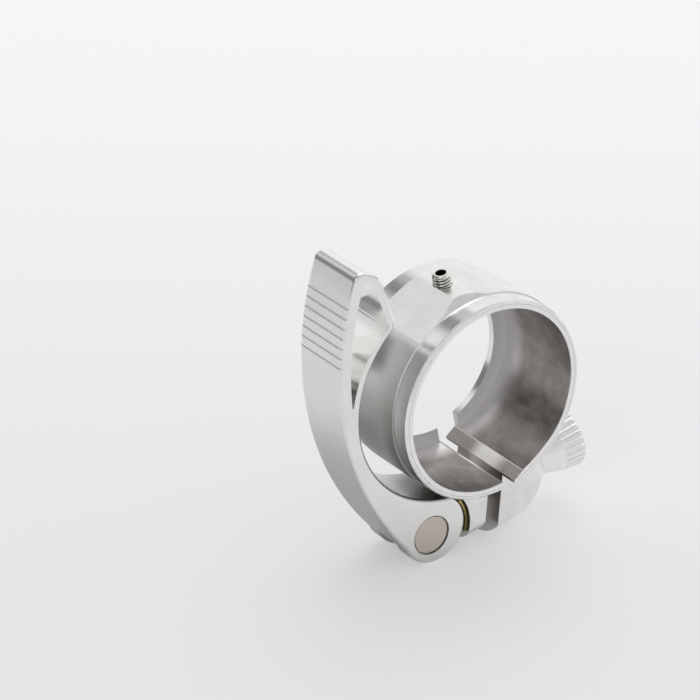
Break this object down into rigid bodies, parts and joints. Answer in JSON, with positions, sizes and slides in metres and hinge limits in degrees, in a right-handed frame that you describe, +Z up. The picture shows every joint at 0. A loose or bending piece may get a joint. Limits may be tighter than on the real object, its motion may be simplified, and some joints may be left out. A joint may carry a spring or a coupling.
{
  "type": "quick-release seatpost clamp",
  "caption": "Split ring clamp with a hollow cam lever, pivot pin, bolt, brass cam washer and ribbed thumb nut, for a round tube.",
  "frame": {"origin": "on the bore's axis, midway along the band, which is also the bolt's plane", "axes": "+Y along the bore away from the side that the tube enters, +Z up as it stands on the lever's head and the nut's ear, the lever on the -X side"},
  "size_m": [0.0651, 0.0238, 0.0717],
  "materials": {
    "polished_aluminium": "polished with fine brush lines",
    "steel": "satin",
    "screw_steel": "plain zinc",
    "brass": "turned"
  },
  "bodies": {
    "collar": {"collar": "polished_aluminium", "cam_washer": "brass"},
    "skewer": {"skewer_bolt": "steel", "pivot_pin": "steel"},
    "lever": {"lever": "polished_aluminium"},
    "thumb_nut": {"thumb_nut": "polished_aluminium"},
    "set_screw": {"set_screw": "screw_steel"}
  },
  "joints": [
    {"name": "lever_hinge", "type": "hinge", "parent": "skewer", "child": "lever", "pos_m": [-0.01142, 0, -0.02995], "axis": [0, -1, 0], "range_deg": [0, 150]},
    {"name": "skewer_release", "type": "slide", "parent": "collar", "child": "skewer", "axis": [0.9785, 0, 0.2061], "range_m": [0, 0.0014]},
    {"name": "nut_spin", "type": "hinge", "parent": "skewer", "child": "thumb_nut", "pos_m": [0.02415, 0, -0.02246], "axis": [0.9785, 0, 0.2061], "continuous": true},
    {"name": "set_screw_spin", "type": "hinge", "parent": "collar", "child": "set_screw", "pos_m": [-0.00445, 0, 0.02257], "axis": [-0.2061, 0, 0.9785], "continuous": true}
  ],
  "couplings": [
    {"joint": "skewer_release", "follows": "lever_hinge", "m_per_rad": 0.0005}
  ]
}
